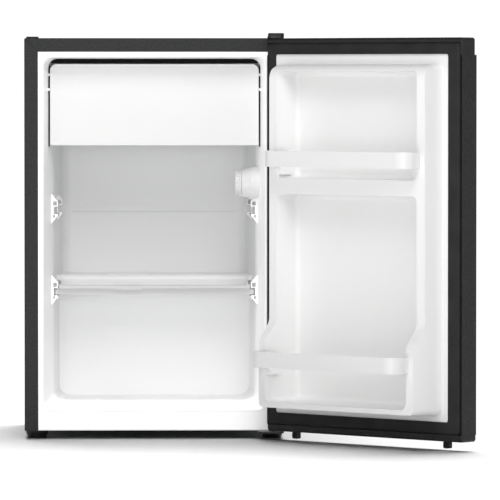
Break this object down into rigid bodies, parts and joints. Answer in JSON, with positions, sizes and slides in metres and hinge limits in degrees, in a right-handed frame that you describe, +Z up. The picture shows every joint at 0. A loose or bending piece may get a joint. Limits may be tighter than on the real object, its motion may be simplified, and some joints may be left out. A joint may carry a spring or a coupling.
{
  "type": "mini fridge",
  "caption": "Compact refrigerator with an open door, freezer flap, glass shelf, door racks, thermostat knob and rear condenser.",
  "frame": {"origin": "on the floor, at the middle of the four feet", "axes": "+X to the right of someone facing the fridge, +Y from its front to its back, +Z up"},
  "size_m": [0.7554, 0.786, 0.695],
  "materials": {
    "black_textured_paint": "fine pebbled satin powder coat",
    "black_paint": "smooth satin paint",
    "white_plastic": "smooth satin, vacuum formed or moulded",
    "black_plastic": "fine moulded grain",
    "black_rubber": "matt",
    "insulation_foam": "rigid closed-cell foam, matt",
    "galvanised_steel": "zinc coated, dull",
    "bright_steel": "bright zinc",
    "copper": "drawn copper, slightly dulled",
    "aluminium_plate": "rolled plate, satin",
    "clear_glass": "clear, polished"
  },
  "bodies": {
    "cabinet": {"cabinet_wrapper": "black_textured_paint", "inner_liner": "white_plastic", "cabinet_foam": "insulation_foam", "rear_panel": "black_paint", "bottom_panel": "galvanised_steel", "machine_room_panel": "galvanised_steel", "top_hinge_bracket": "black_paint", "bottom_hinge_bracket": "black_paint", "bottom_hinge_washer": "bright_steel", "top_hinge_screws": "bright_steel", "bottom_hinge_screws": "bright_steel", "rear_panel_screws": "bright_steel", "evaporator_posts": "white_plastic", "evaporator_screws": "bright_steel", "liquid_tube": "copper", "top_hinge_cap": "black_plastic", "hinge_hole_plug": "black_plastic", "compressor_casing": "black_paint", "compressor_motor": "bright_steel", "compressor_grommets": "black_rubber", "compressor_bolts": "bright_steel", "start_relay_cover": "black_plastic", "evaporation_tray": "black_plastic", "compressor_base_plate": "galvanised_steel", "condenser_coil": "black_paint", "condenser_wires": "black_paint", "condenser_brackets": "black_paint", "condenser_screws": "bright_steel", "discharge_tube": "copper", "filter_drier": "copper", "capillary_tube": "copper", "suction_tube": "copper", "evaporator": "aluminium_plate", "flap_pivot_pins": "white_plastic", "flap_frame": "black_plastic", "flap_catches": "white_plastic", "thermostat_housing": "white_plastic", "thermostat_switch": "black_plastic", "foot_nuts": "bright_steel", "rear_feet": "black_plastic", "cord_gland": "black_plastic"},
    "upper_rack": {"upper_rack_bar": "white_plastic"},
    "lower_rack": {"lower_rack_bar": "white_plastic"},
    "door": {"door_skin": "black_textured_paint", "door_top_cap": "black_plastic", "door_bottom_cap": "black_plastic", "door_foam": "insulation_foam", "door_inner_panel": "white_plastic", "door_gasket": "black_rubber", "gasket_magnets": "black_rubber", "door_hinge_bushes": "black_plastic", "door_stop_tabs": "black_plastic"},
    "flap": {"freezer_flap": "white_plastic"},
    "shelf": {"shelf_glass": "clear_glass", "shelf_front_trim": "white_plastic", "shelf_rear_trim": "white_plastic"},
    "knob": {"thermostat_knob": "white_plastic"},
    "left_foot": {"front_foot_left": "black_plastic"},
    "right_foot": {"front_foot_right": "black_plastic"}
  },
  "joints": [
    {"name": "door_hinge", "type": "hinge", "parent": "cabinet", "child": "door", "pos_m": [0.212, -0.221, 0.35], "axis": [0, 0, 1], "range_deg": [-135.2, 15]},
    {"name": "flap_hinge", "type": "hinge", "parent": "cabinet", "child": "flap", "pos_m": [0, -0.153, 0.624], "axis": [-1, 0, 0], "range_deg": [0, 85]},
    {"name": "knob_turn", "type": "hinge", "parent": "cabinet", "child": "knob", "pos_m": [0.142, -0.127, 0.4377], "axis": [-1, 0, 0], "range_deg": [-135, 135]},
    {"name": "shelf_slide", "type": "slide", "parent": "cabinet", "child": "shelf", "axis": [0, -1, 0], "range_m": [0, 0.16]},
    {"name": "upper_rack_lift", "type": "slide", "parent": "door", "child": "upper_rack", "axis": [0, 0, 1], "range_m": [0, 0.03]},
    {"name": "lower_rack_lift", "type": "slide", "parent": "door", "child": "lower_rack", "axis": [0, 0, 1], "range_m": [0, 0.03]},
    {"name": "left_foot_travel", "type": "slide", "parent": "cabinet", "child": "left_foot", "axis": [0, 0, -1], "range_m": [0, 0.01]},
    {"name": "right_foot_travel", "type": "slide", "parent": "cabinet", "child": "right_foot", "axis": [0, 0, -1], "range_m": [0, 0.01]}
  ]
}
